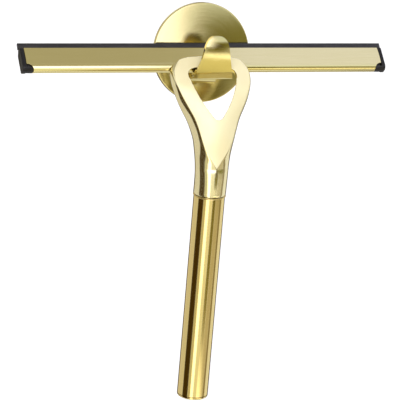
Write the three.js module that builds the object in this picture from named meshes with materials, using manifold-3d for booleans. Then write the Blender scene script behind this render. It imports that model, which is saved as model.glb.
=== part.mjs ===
// Shower squeegee hanging by the eye of its yoke on a round wall hook.
// Millimetres, +Z up, wall plane at Y = 0 with the wall on the +Y side, +X along the blade.
// The origin is the centre of the hook's back face, where it is stuck to the wall.
import * as THREE from 'three';
import { mergeVertices } from 'three/addons/utils/BufferGeometryUtils.js';
import Module from 'manifold-3d';

const wasm = await Module();
wasm.setup();

const DEGREE = Math.PI / 180;
const GAP = 0.3; // play left between pieces that touch

// ---- Driving dimensions -------------------------------------------------------------------

// How the squeegee hangs: its handle leans so that the free end rests against the wall.
const HANG = { x: -1.5, y: -32.3, z: -89.6, lean: 8.9 * DEGREE };

// Wall hook
const DISC = { radius: 32.9, edge: 1.0, edgeRound: 0.3, rimBack: 0.6, rimFront: 4.0, centreFront: 5.8,
  recessRadius: 30.5, recess: 3.0 };
const PAD = { radius: 29.8, thickness: 1.1 };
const PLATE = { radius: 30.1, back: 1.4, front: 2.7 };
const PLATE_SCREW = { x: 6, z: -11.5, radius: 1.7, headRadius: 3.2, tip: 9.5 };
const ARM = { half: 14.1, low: -22, high: 14, front: -42, back: 0 };
// The hook's arm and tongue, drawn row by row: 2 numbers end a line, 4 or 6 end a curve and
// start with its control points. From the side in (y, z), from the front in (x, z), from below in (x, y).
const HOOK_SIDE = [[-3.3, -3], [-5.6, -5], [-8, -11.9, -14, -11.9], [-22.6, -11.9],
  [-25.6, -11.2, -28.7, -7.6], [-34.2, 2, -31.9, 13], [-32.7, 14.3, -34.8, 13.2], [-37.2, 5.5, -30, -10.6],
  [-26.4, -15], [-25.6, -15.4, -24, -15.4], [-12, -15.4], [-6.5, -15.8, -4.6, -21], [-3.3, -21]];
const HOOK_FRONT = [[-14.1, -22], [14.1, -22], [14.1, -15.4], [10.3, -5.5, 8.4, 5],
  [7.2, 11, 4.2, 13.8, 0, 13.8], [-4.2, 13.8, -7.2, 11, -8.4, 5], [-10.3, -5.5, -14.1, -15.4]];
const HOOK_PLAN = [[-9.5, 0], [-9.5, -10], [-9.5, -20, -14.1, -26], [-14.1, -42], [14.1, -42], [14.1, -26],
  [9.5, -20, 9.5, -10], [9.5, 0]];

// Handle
const TUBE = { radius: 10.3, bore: 9.3, top: -0.8, bottom: -139.0 };
const NECK_RING = { radius: 10.75, bore: 4.6, bottom: -0.5, top: 0.1 };
const STUD = { radius: 4.0, bottom: -13, top: 15 };
const INSERT = { radius: 9.0, bottom: -20 };
const END_PLUG = { face: -140.8, edge: 1.1, spigot: 9.0, spigotTop: -126, spigotBore: 6.5 };

// Yoke: its front surface runs straight up the handle, then bends back to the head.
const YOKE = { bottom: 0.4, front: 8.9, bendStart: 35, bendRadius: 51.5, bend: 49.3 * DEGREE,
  seat: 10.55, seatFront: 3.05 };
const headPlace = YOKE.bendStart + YOKE.bendRadius * YOKE.bend;
const RING = { widest: 85, top: 98.9, half: 27.1, squareness: 3 };
const EYE = { tip: 52.2, tipRadius: 3.4, half: 16.0, cornerRadius: 5, cornerHeight: 84.2, top: 90.4,
  bow: 11 * DEGREE };
const [FRONT_STEPS, FLANK_STEPS] = [3, 7];
const EYE_FLARE = { side: 0.6, end: 0.2, middle: 76, square: 68, reach: 24, lead: 3 };

// Head, in its own frame: x along the blade, z up the face of the cover, y from the face inward.
const HEAD = { half: 125, capHalf: 124.6, coverHalf: 121.8, faceTop: 28.6, crown: 2.75 };
const ROLL = { z: 14.7, y: 6.4, radius: 2.95, end: 305 * DEGREE };
const COVER_WALL = 1.1;
const RUBBER = { bottom: 13.8, lip: 33.0, front: 5.4, back: 7.6, lipBack: 7.0 };
const STIFFENER = { bottom: 15, top: 25, front: 7.9, back: 8.7, half: 116 };
const CLAMP = { bottom: 13.2, top: 26.4, front: 9.0, back: 10.4 };
const HEAD_SCREW = { x: 17, z: 16.2, radius: 1.5, headRadius: 2.6, headHeight: 1.6, tip: 0.9 };
const CLAMP_SCREW = { x: [-102, -58, 58, 102], z: 19.5, radius: 1.2, headRadius: 2.3, headHeight: 1.4,
  tip: 5.3 };
const BOSS = { radius: 2.5, start: 3.7, end: 8.8 };
const SOCKET_DEPTH = 0.9;
const THROUGH = 20; // depth of a cut that passes right through the head
const END_CAP = { top: 28.8, footRadius: 4.6, footZ: 11.3, tongueIn: 117.2 };

// ---- Finishes -----------------------------------------------------------------------------

function finish(color, roughness, metalness) {
  return new THREE.MeshStandardMaterial({ color, roughness, metalness });
}
const satinGold = () => finish('#d9c98a', 0.35, 1);
const brushedGold = () => finish('#b59c4a', 0.28, 1);
const steel = () => finish('#b9bbbd', 0.3, 1);
const blackRubber = () => finish('#1b1a22', 0.75, 0);
const blackPlastic = () => finish('#1d1c20', 0.5, 0);
const foam = () => finish('#e9e9e6', 0.9, 0);

// ---- Shape helpers ------------------------------------------------------------------------

function solid(geometry) {
  const bare = geometry.clone();
  bare.deleteAttribute('normal');
  bare.deleteAttribute('uv');
  const merged = mergeVertices(bare, 1e-4);
  const vertProperties = new Float32Array(merged.attributes.position.array);
  const triVerts = new Uint32Array(merged.index.array);
  return new wasm.Manifold(new wasm.Mesh({ numProp: 3, vertProperties, triVerts }));
}

function geometryOf(manifold) {
  const mesh = manifold.getMesh();
  const geometry = new THREE.BufferGeometry();
  geometry.setAttribute('position', new THREE.BufferAttribute(new Float32Array(mesh.vertProperties), 3));
  geometry.setIndex(new THREE.BufferAttribute(new Uint32Array(mesh.triVerts), 1));
  geometry.computeVertexNormals();
  return geometry;
}

const cut = (body, ...tools) => tools.reduce((rest, tool) => rest.subtract(tool), body);
const join = (body, ...others) => others.reduce((sum, other) => sum.add(other), body);

// A block between two corners.
function block(low, high) {
  const [width, depth, height] = high.map((value, axis) => value - low[axis]);
  const geometry = new THREE.BoxGeometry(width, depth, height);
  return solid(geometry.translate(low[0] + width / 2, low[1] + depth / 2, low[2] + height / 2));
}

// A rod along Z from bottom to top.
function uprightRod(radius, bottom, top, segments = 40) {
  const geometry = new THREE.CylinderGeometry(radius, radius, top - bottom, segments);
  return solid(geometry.rotateX(Math.PI / 2).translate(0, 0, (bottom + top) / 2));
}

// A rod along Y, centred on x and z.
function levelRod(radius, x, z, yLow, yHigh, segments = 24) {
  const geometry = new THREE.CylinderGeometry(radius, radius, yHigh - yLow, segments);
  return solid(geometry.translate(x, (yLow + yHigh) / 2, z));
}

// A turned piece about the Z axis from [radius, height] points, given in either direction.
// Turned a quarter about X afterwards, its height becomes depth in front of the wall.
function turned(points, segments = 48) {
  const profile = points.map(([radius, height]) => new THREE.Vector2(radius, height));
  if (THREE.ShapeUtils.area(profile) < 0) profile.reverse();
  return solid(new THREE.LatheGeometry(profile, segments).rotateX(Math.PI / 2));
}

// An outline drawn in (y, z) and extruded along X from -half to half.
function extrudeAcross(shape, half, curveSegments = 12) {
  const options = { depth: 2 * half, bevelEnabled: false, curveSegments };
  const geometry = new THREE.ExtrudeGeometry(shape, options).translate(0, 0, -half);
  const axes = new THREE.Matrix4().makeBasis(
    new THREE.Vector3(0, 1, 0), new THREE.Vector3(0, 0, 1), new THREE.Vector3(1, 0, 0));
  return solid(geometry.applyMatrix4(axes));
}

// An outline drawn in (x, z) and extruded along Y from yLow to yHigh.
function extrudeDeep(shape, yLow, yHigh, curveSegments = 16) {
  const options = { depth: yHigh - yLow, bevelEnabled: false, curveSegments };
  const geometry = new THREE.ExtrudeGeometry(shape, options);
  return solid(geometry.rotateX(Math.PI / 2).translate(0, yHigh, 0));
}

// An outline from rows of line ends and curves.
function drawn(rows) {
  const shape = new THREE.Shape();
  const [start, ...rest] = rows;
  shape.moveTo(...start);
  for (const row of rest) {
    if (row.length === 2) shape.lineTo(...row);
    else if (row.length === 4) shape.quadraticCurveTo(...row);
    else shape.bezierCurveTo(...row);
  }
  return shape;
}

// A closed skin over rings of points, each ring with the same number of points.
function loft(rings) {
  const count = rings[0].length;
  const positions = rings.flat().flatMap((point) => [point.x, point.y, point.z]);
  const triangles = [];
  for (let ring = 0; ring + 1 < rings.length; ring += 1) {
    for (let side = 0; side < count; side += 1) {
      const next = (side + 1) % count;
      const [a, b] = [ring * count + side, ring * count + next];
      triangles.push(a, b, b + count, a, b + count, a + count);
    }
  }
  for (const [ring, flip] of [[0, true], [rings.length - 1, false]]) {
    const centre = new THREE.Vector3();
    for (const point of rings[ring]) centre.addScaledVector(point, 1 / count);
    const hub = positions.length / 3;
    positions.push(centre.x, centre.y, centre.z);
    for (let side = 0; side < count; side += 1) {
      const [a, b] = [ring * count + side, ring * count + (side + 1) % count];
      triangles.push(...(flip ? [hub, b, a] : [hub, a, b]));
    }
  }
  const geometry = new THREE.BufferGeometry();
  geometry.setAttribute('position', new THREE.Float32BufferAttribute(positions, 3));
  geometry.setIndex(triangles);
  return solid(geometry);
}

// Smooth value between [place, value] knots, level at both ends.
function smooth(knots, place) {
  const last = knots.length - 1;
  if (place <= knots[0][0]) return knots[0][1];
  if (place >= knots[last][0]) return knots[last][1];
  const slopeAt = (index) => {
    if (index === 0 || index === last) return 0;
    const [before, after] = [knots[index - 1], knots[index + 1]];
    return (after[1] - before[1]) / (after[0] - before[0]);
  };
  const low = knots.findLastIndex(([knot]) => knot <= place);
  const span = knots[low + 1][0] - knots[low][0];
  const t = (place - knots[low][0]) / span;
  const [from, to] = [knots[low][1], knots[low + 1][1]];
  return from * (1 + 2 * t) * (1 - t) ** 2 + to * t * t * (3 - 2 * t)
    + slopeAt(low) * span * t * (1 - t) ** 2 + slopeAt(low + 1) * span * t * t * (t - 1);
}

// ---- Wall hook ----------------------------------------------------------------------------

// A domed disc with a rounded edge and a hollow back.
function hookDisc() {
  const { radius, edge, edgeRound, rimBack, rimFront, centreFront, recessRadius, recess } = DISC;
  const domeRadius = radius - edge;
  const steps = 10;
  const profile = [];
  for (let step = 0; step <= steps; step += 1) {
    const out = step / steps;
    profile.push([out * domeRadius, rimFront + (centreFront - rimFront) * (1 - out ** 2)]);
  }
  profile.push([radius - edgeRound, rimFront - edgeRound], [radius, rimFront - edge], [radius, rimBack]);
  profile.push([recessRadius, rimBack], [recessRadius, recess], [0, recess]);
  return turned(profile, 72).rotate([90, 0, 0]);
}

function wallHook() {
  const planDepth = { depth: ARM.high - ARM.low, bevelEnabled: false, curveSegments: 12 };
  const plan = solid(new THREE.ExtrudeGeometry(drawn(HOOK_PLAN), planDepth).translate(0, 0, ARM.low));
  const arm = extrudeAcross(drawn(HOOK_SIDE), ARM.half + 1, 14)
    .intersect(extrudeDeep(drawn(HOOK_FRONT), ARM.front, ARM.back))
    .intersect(plan);
  const holes = [-1, 1].map((side) => levelRod(PLATE_SCREW.radius + GAP, side * PLATE_SCREW.x, PLATE_SCREW.z,
    -PLATE_SCREW.tip - GAP, 0));
  return cut(hookDisc().add(arm), ...holes);
}

function backingPlate() {
  const plate = levelRod(PLATE.radius, 0, 0, -PLATE.front, -PLATE.back, 64);
  const { radius, headRadius } = PLATE_SCREW;
  const sinks = [-1, 1].map((side) => countersink(side, radius + GAP, headRadius + GAP));
  return cut(plate, ...sinks);
}

// The flat-headed screw's own shape, its head flush with the back of the plate.
function countersink(side, shank, head) {
  const screw = turned([[0, PLATE.back], [head, PLATE.back], [shank, PLATE.front], [shank, PLATE_SCREW.tip],
    [0, PLATE_SCREW.tip]], 24);
  return screw.rotate([90, 0, 0]).translate([side * PLATE_SCREW.x, 0, PLATE_SCREW.z]);
}

// ---- Yoke ---------------------------------------------------------------------------------

// The yoke's front surface at a distance s along it, with its outward normal.
function frontAt(s) {
  const { front, bendStart, bendRadius, bend } = YOKE;
  const angle = Math.min(Math.max(s - bendStart, 0) / bendRadius, bend);
  const beyond = Math.max(s - bendStart - bendRadius * bend, 0);
  const y = -front + bendRadius * (1 - Math.cos(angle)) + beyond * Math.sin(angle);
  const z = Math.min(s, bendStart) + bendRadius * Math.sin(angle) + beyond * Math.cos(angle);
  return {
    point: new THREE.Vector3(0, y, z),
    normal: new THREE.Vector3(0, -Math.cos(angle), Math.sin(angle)),
    along: new THREE.Vector3(0, Math.sin(angle), Math.cos(angle)),
  };
}

// Half width of the yoke's outline, growing from the neck to the ring and closing over the top.
function outlineHalf(s) {
  const sides = [[0, 10.7], [17, 11], [26, 11.8], [35, 13.2], [45, 15.4], [54, 18], [62, 21.2], [71, 24.4],
    [RING.widest, RING.half]];
  if (s <= RING.widest) return smooth(sides, s);
  const rise = (s - RING.widest) / (RING.top - RING.widest);
  return RING.half * (1 - rise ** RING.squareness) ** (1 / RING.squareness);
}

// Half of one cross-section, as [x, n] points from the middle of the front round to the back:
// a crowned front out to a crease, a rounded flank, and a rounder back. The neck is a plain circle.
function yokeSection(s) {
  const half = outlineHalf(s);
  const front = Math.max(Math.min(smooth([[19, 0], [21, 1.6], [25, 4.1], [31, 7.4], [38, 10.2], [53, 14.8],
    [68, 21], [78, 24.6], [88, 24.8], [95, 21]], s), half - 0.8), 0);
  const crown = smooth([[17, 0], [25, 0.4], [34, 1.5], [44, 3.2], [54, 4.6], [66, 4.4], [78, 2.2], [88, 0.8],
    [98, 0]], s);
  const crease = smooth([[17, 0], [28, 0.6], [70, 0.6], [82, 0.15]], s);
  const proud = smooth([[0, 1.8], [12, 1.8], [35, 0]], s);
  const depth = smooth([[0, 10.7], [20, 10.2], [35, 11], [46, 12.6], [58, 12.6], [70, 9.8], [80, 6.8],
    [88, 5.2], [99, 2.4]], s);
  const thick = smooth([[0, 21.4], [20, 20.6], [45, 18.2], [60, 16.4], [72, 13.8], [88, 12], [99, 11]], s);
  const back = Math.min(smooth([[12, 0], [35, 5], [54, 10], [71, 17], [88, 22]], s), half - 0.8);
  const points = [];
  for (let step = 0; step < FRONT_STEPS; step += 1) {
    const out = step / FRONT_STEPS;
    points.push([front * out, proud - crown * out ** 2]);
  }
  for (let step = 0; step <= FLANK_STEPS; step += 1) {
    const angle = crease + (Math.PI / 2 - crease) * step / FLANK_STEPS;
    const out = (Math.sin(angle) - Math.sin(crease)) / (1 - Math.sin(crease));
    const down = 1 - Math.cos(angle) / Math.cos(crease);
    points.push([front + (half - front) * out, proud - crown - (depth - crown) * down]);
  }
  for (let step = 1; step <= FLANK_STEPS; step += 1) {
    const angle = Math.PI / 2 * step / FLANK_STEPS;
    points.push([back + (half - back) * Math.cos(angle), proud - depth - (thick - depth) * Math.sin(angle)]);
  }
  return points;
}

function yokeRing(s) {
  const { point, normal } = frontAt(s);
  const side = yokeSection(s);
  const place = ([x, n]) => new THREE.Vector3(x, 0, 0).add(point).addScaledVector(normal, n);
  const right = side.slice(1).map(place);
  const left = side.slice(1).map(([x, n]) => place([-x, n])).reverse();
  return [place(side[0]), ...right, place([0, side[side.length - 1][1]]), ...left];
}

// The eye's outline on the front surface, drawn in (x, s): a rounded triangle, point down,
// whose sides bow outward between the round of the tip and the rounds of the corners.
function eyeOutline() {
  const { tip, tipRadius, half, cornerRadius, cornerHeight, top, bow } = EYE;
  const tipCentre = tip + tipRadius;
  const cornerX = half - cornerRadius;
  const rise = cornerHeight - tipCentre;
  const side = Math.atan(cornerX / rise) + Math.asin((cornerRadius - tipRadius) / Math.hypot(cornerX, rise));
  const [low, high] = [side + bow, side - bow];
  const from = [tipRadius * Math.cos(low), tipCentre - tipRadius * Math.sin(low)];
  const to = [cornerX + cornerRadius * Math.cos(high), cornerHeight - cornerRadius * Math.sin(high)];
  const reach = ((to[0] - from[0]) * Math.cos(high) - (to[1] - from[1]) * Math.sin(high)) / Math.sin(2 * bow);
  const bulge = [from[0] + reach * Math.sin(low), from[1] + reach * Math.cos(low)];
  const shoulder = 70 * DEGREE;
  const shoulderX = cornerX + cornerRadius * Math.cos(shoulder);
  const shoulderHeight = cornerHeight + cornerRadius * Math.sin(shoulder);
  const shape = new THREE.Shape();
  shape.absarc(0, tipCentre, tipRadius, Math.PI + low, 2 * Math.PI - low, false);
  shape.quadraticCurveTo(bulge[0], bulge[1], to[0], to[1]);
  shape.absarc(cornerX, cornerHeight, cornerRadius, -high, shoulder, false);
  shape.quadraticCurveTo(cornerX * 0.7, top, 0, top);
  shape.quadraticCurveTo(-cornerX * 0.7, top, -shoulderX, shoulderHeight);
  shape.absarc(-cornerX, cornerHeight, cornerRadius, Math.PI - shoulder, Math.PI + high, false);
  shape.quadraticCurveTo(-bulge[0], bulge[1], -from[0], from[1]);
  return shape.getPoints(10).slice(0, -1);
}

// The eye's cutter runs square to the ring's middle and flares toward the back.
function eyeCutter() {
  const { normal } = frontAt(EYE_FLARE.square);
  const ringAt = (depth) => eyeOutline().map(({ x, y: s }) => {
    const wider = 1 + EYE_FLARE.side * Math.max(depth, 0) / EYE_FLARE.reach;
    const taller = 1 + EYE_FLARE.end * Math.max(depth, 0) / EYE_FLARE.reach;
    const place = EYE_FLARE.middle + (s - EYE_FLARE.middle) * taller;
    const { point } = frontAt(s);
    const slide = frontAt(EYE_FLARE.square).along.clone().multiplyScalar(place - s);
    return new THREE.Vector3(x * wider, 0, 0).add(point).add(slide).addScaledVector(normal, -depth);
  });
  return loft([ringAt(EYE_FLARE.reach), ringAt(0), ringAt(-EYE_FLARE.lead)]);
}

// Turns a solid from the head's own frame into the squeegee's.
function fromHeadFrame(body) {
  const { point } = frontAt(headPlace);
  return body.rotate([-YOKE.bend / DEGREE, 0, 0]).translate([0, point.y, point.z]);
}

// Cross-sections are sparse up the plain neck, closer over the body, and crowd toward the top of the ring.
function yokeStations() {
  const [neckTop, topSteps] = [17, 12];
  const stations = [];
  for (let s = YOKE.bottom; s < neckTop; s += 5.5) stations.push(s);
  for (let s = neckTop; s < RING.widest; s += 2.6) stations.push(s);
  for (let step = 0; step <= topSteps; step += 1) {
    stations.push(RING.widest + (RING.top - RING.widest) * Math.sin(88.5 * DEGREE * step / topSteps));
  }
  return stations;
}

function yoke() {
  const stations = yokeStations();
  const body = loft(stations.map(yokeRing));
  const { seat, seatFront } = YOKE;
  const headSeat = fromHeadFrame(block([-40, seatFront, seat], [40, 40, RUBBER.lip]));
  const tapped = [-1, 1].map((side) => fromHeadFrame(
    levelRod(HEAD_SCREW.radius + GAP, side * HEAD_SCREW.x, HEAD_SCREW.z, HEAD_SCREW.tip - GAP, 10)));
  const studHole = uprightRod(STUD.radius + GAP, -2, STUD.top + GAP, 24);
  return cut(body, eyeCutter(), headSeat, studHole, ...tapped);
}

// ---- Handle -------------------------------------------------------------------------------

function handleTube() {
  const { radius, bore, top, bottom } = TUBE;
  return turned([[bore, bottom], [radius, bottom], [radius, top - 0.3], [radius - 0.3, top], [bore, top],
    [bore, bottom]], 64);
}

function neckRing() {
  const { radius, bore, bottom, top } = NECK_RING;
  return cut(uprightRod(radius, bottom, top, 48), uprightRod(bore, bottom - 1, top + 1, 24));
}

function tubeInsert() {
  const body = uprightRod(INSERT.radius, INSERT.bottom, TUBE.top - GAP, 40);
  return cut(body, uprightRod(STUD.radius + GAP, INSERT.bottom - 1, 1, 24));
}

function endPlug() {
  const { face, edge, spigot, spigotTop, spigotBore } = END_PLUG;
  const shoulder = TUBE.bottom - GAP;
  return turned([[0, face], [TUBE.radius - edge, face], [TUBE.radius - 0.3, face + 0.45],
    [TUBE.radius, face + edge], [TUBE.radius, shoulder], [spigot, shoulder], [spigot, spigotTop],
    [spigotBore, spigotTop], [spigotBore, shoulder], [0, shoulder]], 64);
}

// ---- Head: all in the head's own frame ---------------------------------------------------

function coverProfile() {
  const [top, roll] = [HEAD.faceTop, ROLL];
  const face = roll.y - roll.radius;
  const inner = roll.radius - COVER_WALL;
  const shape = new THREE.Shape();
  shape.moveTo(RUBBER.front - GAP, top - 0.7);
  shape.lineTo(RUBBER.front - GAP, top);
  shape.quadraticCurveTo(face + 0.3, top + 0.3, face + 0.2, top - 0.9);
  shape.quadraticCurveTo(HEAD.crown, (top + roll.z) / 2, face, roll.z);
  shape.absarc(roll.y, roll.z, roll.radius, Math.PI, roll.end, false);
  shape.absarc(roll.y, roll.z, inner, roll.end, Math.PI, true);
  shape.quadraticCurveTo(HEAD.crown + COVER_WALL, (top + roll.z) / 2, RUBBER.front - GAP, top - 0.7);
  return shape;
}

// The rounded bite out of each lower corner of the cover, which the end cap's foot fills.
function cornerBite(side, radius) {
  return levelRod(radius, side * HEAD.coverHalf, END_CAP.footZ, -1, THROUGH, 32);
}

function bladeCover() {
  const shell = extrudeAcross(coverProfile(), HEAD.coverHalf, 10);
  const { x: places, z, radius, tip } = CLAMP_SCREW;
  const bosses = places.map((x) => levelRod(BOSS.radius, x, z, BOSS.start, BOSS.end, 20));
  const bores = places.map((x) => levelRod(radius + GAP, x, z, tip - GAP, THROUGH, 16));
  const bites = [-1, 1].map((side) => cornerBite(side, END_CAP.footRadius));
  return cut(join(shell, ...bosses), ...bores, ...headScrewHoles(), ...bites);
}

function headScrewHoles() {
  const { x, z, radius } = HEAD_SCREW;
  return [-1, 1].map((side) => levelRod(radius + GAP, side * x, z, -1, THROUGH, 16));
}

function clampHoles(radius) {
  return CLAMP_SCREW.x.map((x) => levelRod(radius, x, CLAMP_SCREW.z, -1, THROUGH, 20));
}

// The slice of the head between two distances from its middle, on one side.
function endSlice(side, from, to, top) {
  const [low, high] = side > 0 ? [from, to] : [-to, -from];
  return block([low, -1, 0], [high, THROUGH, top]);
}

function rubberBlade() {
  const { bottom, lip, front, back, lipBack } = RUBBER;
  const shape = new THREE.Shape();
  shape.moveTo(front, bottom);
  shape.lineTo(back, bottom);
  shape.lineTo(back, HEAD.faceTop);
  shape.lineTo(lipBack, lip);
  shape.lineTo(front, lip);
  const strip = extrudeAcross(shape, HEAD.half);
  const ends = [-1, 1].map((side) => endSlice(side, HEAD.coverHalf, HEAD.half + 1, END_CAP.top + GAP));
  return cut(strip, ...ends, ...headScrewHoles(), ...clampHoles(BOSS.radius + GAP));
}

function bladeStiffener() {
  const { bottom, top, front, back, half } = STIFFENER;
  return cut(block([-half, front, bottom], [half, back, top]), ...headScrewHoles(),
    ...clampHoles(BOSS.radius + GAP));
}

function clampPlate() {
  const { bottom, top, front, back } = CLAMP;
  const shape = new THREE.Shape();
  shape.moveTo(front, bottom);
  shape.lineTo(back - 0.5, bottom);
  shape.lineTo(back, bottom + 0.5);
  shape.lineTo(back, top - 0.9);
  shape.lineTo(back - 0.9, top);
  shape.lineTo(front, top);
  const plate = extrudeAcross(shape, HEAD.coverHalf);
  return cut(plate, ...headScrewHoles(), ...clampHoles(CLAMP_SCREW.radius + GAP));
}

function endCap(side) {
  const face = ROLL.y - ROLL.radius;
  const shape = new THREE.Shape();
  shape.moveTo(RUBBER.front, END_CAP.top);
  shape.quadraticCurveTo(face, END_CAP.top, face, HEAD.faceTop - 1.4);
  shape.lineTo(face, ROLL.z);
  shape.absarc(ROLL.y, ROLL.z, ROLL.radius, Math.PI, 1.5 * Math.PI, false);
  shape.lineTo(CLAMP.back - 1, CLAMP.bottom - 1);
  shape.lineTo(CLAMP.back, CLAMP.bottom);
  shape.lineTo(CLAMP.back, CLAMP.top - 0.6);
  shape.lineTo(RUBBER.back, END_CAP.top);
  const whole = extrudeAcross(shape, HEAD.capHalf, 10);
  const plate = whole.intersect(endSlice(side, HEAD.coverHalf + GAP, HEAD.capHalf, RUBBER.lip));
  const footTop = RUBBER.bottom - GAP;
  const footSlice = endSlice(side, HEAD.coverHalf - END_CAP.footRadius, HEAD.coverHalf + 1, footTop);
  const foot = whole.intersect(footSlice)
    .intersect(cornerBite(side, END_CAP.footRadius - GAP))
    .intersect(block([-HEAD.half, 0, 0], [HEAD.half, CLAMP.front - GAP, RUBBER.bottom]));
  const { front, back, bottom, top } = STIFFENER;
  const tongue = endSlice(side, END_CAP.tongueIn, HEAD.coverHalf + 1, RUBBER.lip)
    .intersect(block([-HEAD.half, front + 0.1, bottom + 1], [HEAD.half, back - 0.1, top - 1]));
  return join(plate, foot, tongue);
}

// A socket screw driven in from the back of the head.
function backScrew(x, { z, radius, headRadius, headHeight, tip }) {
  const seat = CLAMP.back + 0.1;
  const end = seat + headHeight;
  const screw = levelRod(radius, x, z, tip, seat + 0.5, 16).add(levelRod(headRadius, x, z, seat, end, 24));
  return screw.subtract(levelRod(headRadius / 2, x, z, end - SOCKET_DEPTH, end + 1, 6));
}

// ---- Assembly -----------------------------------------------------------------------------

function piece(name, body, material) {
  const mesh = new THREE.Mesh(geometryOf(body), material);
  mesh.name = name;
  return mesh;
}

const wall = new THREE.Group();
wall.add(piece('wall_hook', wallHook(), satinGold()));
wall.add(piece('backing_plate', backingPlate(), steel()));
for (const [side, name] of [[-1, 'left'], [1, 'right']]) {
  const screw = countersink(side, PLATE_SCREW.radius, PLATE_SCREW.headRadius);
  wall.add(piece(`plate_screw_${name}`, screw, steel()));
}
wall.add(piece('adhesive_pad', levelRod(PAD.radius, 0, 0, -PAD.thickness, 0, 64), foam()));

const head = new THREE.Group();
head.position.copy(frontAt(headPlace).point);
head.rotation.x = -YOKE.bend;
head.add(piece('blade_cover', bladeCover(), satinGold()));
head.add(piece('rubber_blade', rubberBlade(), blackRubber()));
head.add(piece('blade_stiffener', bladeStiffener(), steel()));
head.add(piece('clamp_plate', clampPlate(), satinGold()));
head.add(piece('end_cap_left', endCap(-1), blackPlastic()));
head.add(piece('end_cap_right', endCap(1), blackPlastic()));
for (const [side, name] of [[-1, 'left'], [1, 'right']]) {
  head.add(piece(`head_screw_${name}`, backScrew(side * HEAD_SCREW.x, HEAD_SCREW), steel()));
}
CLAMP_SCREW.x.forEach((x, index) => {
  head.add(piece(`clamp_screw_${index + 1}`, backScrew(x, CLAMP_SCREW), steel()));
});

const squeegee = new THREE.Group();
squeegee.position.set(HANG.x, HANG.y, HANG.z);
squeegee.rotation.x = HANG.lean;
squeegee.add(piece('yoke', yoke(), satinGold()));
squeegee.add(piece('neck_stud', uprightRod(STUD.radius, STUD.bottom, STUD.top, 24), steel()));
squeegee.add(piece('neck_ring', neckRing(), brushedGold()));
squeegee.add(piece('tube_insert', tubeInsert(), steel()));
squeegee.add(piece('handle_tube', handleTube(), brushedGold()));
squeegee.add(piece('end_plug', endPlug(), brushedGold()));
squeegee.add(head);

const assembly = new THREE.Group();
assembly.add(wall, squeegee);

export default assembly;
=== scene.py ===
"""Shower squeegee hanging on a round wall hook: the looks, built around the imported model.

Shapes are made in millimetres, in the frame of the group they belong to, and placed once at the end.
The head's own frame has x along the blade, z up the face of the cover and y from the face inward.
"""
import math

import bmesh
import bpy
from mathutils import Matrix, Vector


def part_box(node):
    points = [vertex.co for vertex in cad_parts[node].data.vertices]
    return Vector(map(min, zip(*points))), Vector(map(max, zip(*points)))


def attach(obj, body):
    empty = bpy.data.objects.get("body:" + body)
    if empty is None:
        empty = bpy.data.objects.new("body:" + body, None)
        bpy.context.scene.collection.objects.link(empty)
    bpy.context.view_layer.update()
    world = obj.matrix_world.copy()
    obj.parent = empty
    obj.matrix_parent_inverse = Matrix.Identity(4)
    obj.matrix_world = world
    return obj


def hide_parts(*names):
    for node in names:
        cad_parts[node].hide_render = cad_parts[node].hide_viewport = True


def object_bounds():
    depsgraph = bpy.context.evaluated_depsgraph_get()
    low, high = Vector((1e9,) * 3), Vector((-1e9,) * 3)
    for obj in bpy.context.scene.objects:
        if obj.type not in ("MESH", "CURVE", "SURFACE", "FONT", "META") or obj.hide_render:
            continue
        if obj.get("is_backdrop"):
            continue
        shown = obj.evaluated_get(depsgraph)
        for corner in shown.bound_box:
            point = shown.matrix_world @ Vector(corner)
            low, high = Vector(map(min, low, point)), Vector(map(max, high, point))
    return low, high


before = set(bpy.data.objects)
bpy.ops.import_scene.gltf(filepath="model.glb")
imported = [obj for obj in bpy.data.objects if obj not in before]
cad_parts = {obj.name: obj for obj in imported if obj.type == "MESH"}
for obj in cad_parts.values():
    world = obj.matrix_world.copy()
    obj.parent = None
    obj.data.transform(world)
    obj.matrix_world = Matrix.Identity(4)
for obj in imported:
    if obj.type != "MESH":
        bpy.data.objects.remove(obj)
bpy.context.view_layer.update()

MM = 0.001
GAP = 0.3

# ---- Sizes shared by the pieces, in millimetres -----------------------------------------------

HANG = Vector((-1.5, -32.3, -89.6))
LEAN = math.radians(8.9)

DISC_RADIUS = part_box("wall_hook")[1].z / MM
DISC_EDGE, RIM_BACK, RIM_FRONT, DISC_FRONT = 0.7, 0.6, 4.0, 5.8
RECESS_RADIUS, RECESS = 30.5, 3.0
ARM_HALF, ARM_LOW, ARM_HIGH, ARM_FRONT = 14.1, -22.0, 14.0, -42.0
# The hook's arm and tongue, drawn row by row: 2 numbers end a line, 4 or 6 end a curve and start
# with its control points. From the side in (y, z), from the front in (x, z), from below in (x, y).
HOOK_SIDE = [(-3.3, -3), (-5.6, -5), (-8, -11.9, -14, -11.9), (-22.6, -11.9), (-25.6, -11.2, -28.7, -7.6),
             (-34.2, 2, -31.9, 13), (-32.7, 14.3, -34.8, 13.2), (-37.2, 5.5, -30, -10.6), (-26.4, -15),
             (-25.6, -15.4, -24, -15.4), (-12, -15.4), (-6.5, -15.8, -4.6, -21), (-3.3, -21)]
HOOK_FRONT = [(-14.1, -22), (14.1, -22), (14.1, -15.4), (10.3, -5.5, 8.4, 5), (7.2, 11, 4.2, 13.8, 0, 13.8),
              (-4.2, 13.8, -7.2, 11, -8.4, 5), (-10.3, -5.5, -14.1, -15.4)]
HOOK_PLAN = [(-9.5, 0), (-9.5, -10), (-9.5, -20, -14.1, -26), (-14.1, -42), (14.1, -42), (14.1, -26),
             (9.5, -20, 9.5, -10), (9.5, 0)]
PAD_RADIUS, PAD_THICKNESS = 29.8, 1.1

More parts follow.
